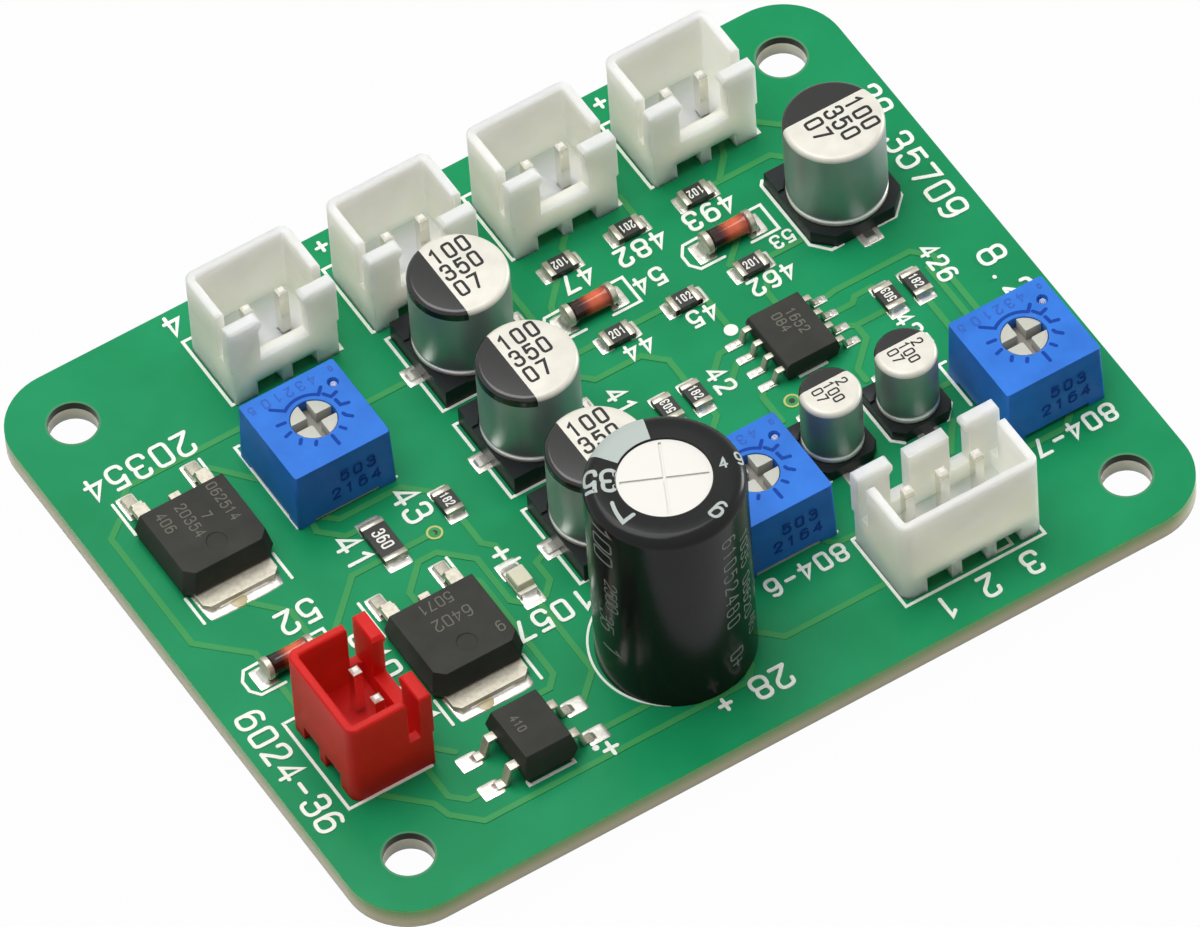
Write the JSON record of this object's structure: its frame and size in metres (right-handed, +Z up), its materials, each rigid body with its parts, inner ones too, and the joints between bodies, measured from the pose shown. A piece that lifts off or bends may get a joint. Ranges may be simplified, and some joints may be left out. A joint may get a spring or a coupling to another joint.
{
  "type": "level meter driver board",
  "caption": "Bare circuit board that drives a pair of level meters, with shrouded cable headers, screwdriver trimmers, capacitors, regulators and bolt holes at the corners.",
  "frame": {"origin": "centre of the four mounting holes, on the underside of the board", "axes": "+X along the board's long side, +Y across the board towards the row of four meter headers, +Z up out of the component side"},
  "size_m": [0.06, 0.048, 0.0195],
  "materials": {
    "base_black": "satin moulded",
    "board_laminate": "gloss solder mask over glass laminate",
    "bung_rubber": "matt",
    "can_aluminium": "drawn, satin",
    "ceramic": "fired alumina",
    "diode_glass": "orange-red glass",
    "epoxy": "cast epoxy",
    "header_red": "satin moulded nylon",
    "header_white": "satin moulded nylon",
    "indicator_board": "white laminate",
    "indicator_lens": "clear epoxy",
    "package_black": "moulded epoxy",
    "resistor_slab": "coated alumina",
    "sleeve_black": "gloss heat-shrink film",
    "solder": "bright solder",
    "spring_alloy": "spring alloy",
    "tinned_lead": "tin plated",
    "trimmer_blue": "gloss moulded thermoplastic",
    "trimmer_rotor": "satin moulded thermoplastic",
    "winding_foil": "wound foil and paper"
  },
  "bodies": {
    "assembled_board": {"amplifier_body": "package_black", "amplifier_leads": "tinned_lead", "bridge_body": "package_black", "bridge_leads": "tinned_lead", "capacitor_bungs": "bung_rubber", "capacitor_strips": "tinned_lead", "capacitor_windings": "winding_foil", "circuit_board": "board_laminate", "coupling_capacitor_1_base": "base_black", "coupling_capacitor_1_can": "can_aluminium", "coupling_capacitor_2_base": "base_black", "coupling_capacitor_2_can": "can_aluminium", "diode_caps": "tinned_lead", "diode_glass": "diode_glass", "filter_capacitor_base": "base_black", "filter_capacitor_can": "can_aluminium", "indicator_base": "indicator_board", "indicator_lens": "indicator_lens", "meter_header_1_housing": "header_white", "meter_header_1_pins": "tinned_lead", "meter_header_2_housing": "header_white", "meter_header_2_pins": "tinned_lead", "meter_header_3_housing": "header_white", "meter_header_3_pins": "tinned_lead", "meter_header_4_housing": "header_white", "meter_header_4_pins": "tinned_lead", "output_capacitor_1_base": "base_black", "output_capacitor_1_can": "can_aluminium", "output_capacitor_2_base": "base_black", "output_capacitor_2_can": "can_aluminium", "output_capacitor_3_base": "base_black", "output_capacitor_3_can": "can_aluminium", "power_header_housing": "header_red", "power_header_pins": "tinned_lead", "regulator_1_body": "package_black", "regulator_1_frame": "tinned_lead", "regulator_2_body": "package_black", "regulator_2_frame": "tinned_lead", "reservoir_bung": "bung_rubber", "reservoir_can": "can_aluminium", "reservoir_leads": "tinned_lead", "reservoir_sleeve": "sleeve_black", "reservoir_winding": "winding_foil", "resistor_ends": "tinned_lead", "resistor_slabs": "resistor_slab", "signal_header_housing": "header_white", "signal_header_pins": "tinned_lead", "solder_joints": "solder", "trimmer_1_housing": "trimmer_blue", "trimmer_2_housing": "trimmer_blue", "trimmer_3_housing": "trimmer_blue", "trimmer_elements": "ceramic", "trimmer_leads": "tinned_lead", "trimmer_seals": "epoxy"},
    "trimmer_1_adjuster": {"trimmer_1_rotor": "trimmer_rotor", "trimmer_1_wiper": "spring_alloy"},
    "trimmer_2_adjuster": {"trimmer_2_rotor": "trimmer_rotor", "trimmer_2_wiper": "spring_alloy"},
    "trimmer_3_adjuster": {"trimmer_3_rotor": "trimmer_rotor", "trimmer_3_wiper": "spring_alloy"}
  },
  "joints": [
    {"name": "trimmer_1_turn", "type": "hinge", "parent": "assembled_board", "child": "trimmer_1_adjuster", "pos_m": [-0.01498, 0.00837, 0.0052], "axis": [0, 0, 1], "range_deg": [-120, 120]},
    {"name": "trimmer_2_turn", "type": "hinge", "parent": "assembled_board", "child": "trimmer_2_adjuster", "pos_m": [0.00522, -0.0102, 0.0052], "axis": [0, 0, 1], "range_deg": [-120, 120]},
    {"name": "trimmer_3_turn", "type": "hinge", "parent": "assembled_board", "child": "trimmer_3_adjuster", "pos_m": [0.02446, -0.01047, 0.0052], "axis": [0, 0, 1], "range_deg": [-120, 120]}
  ]
}
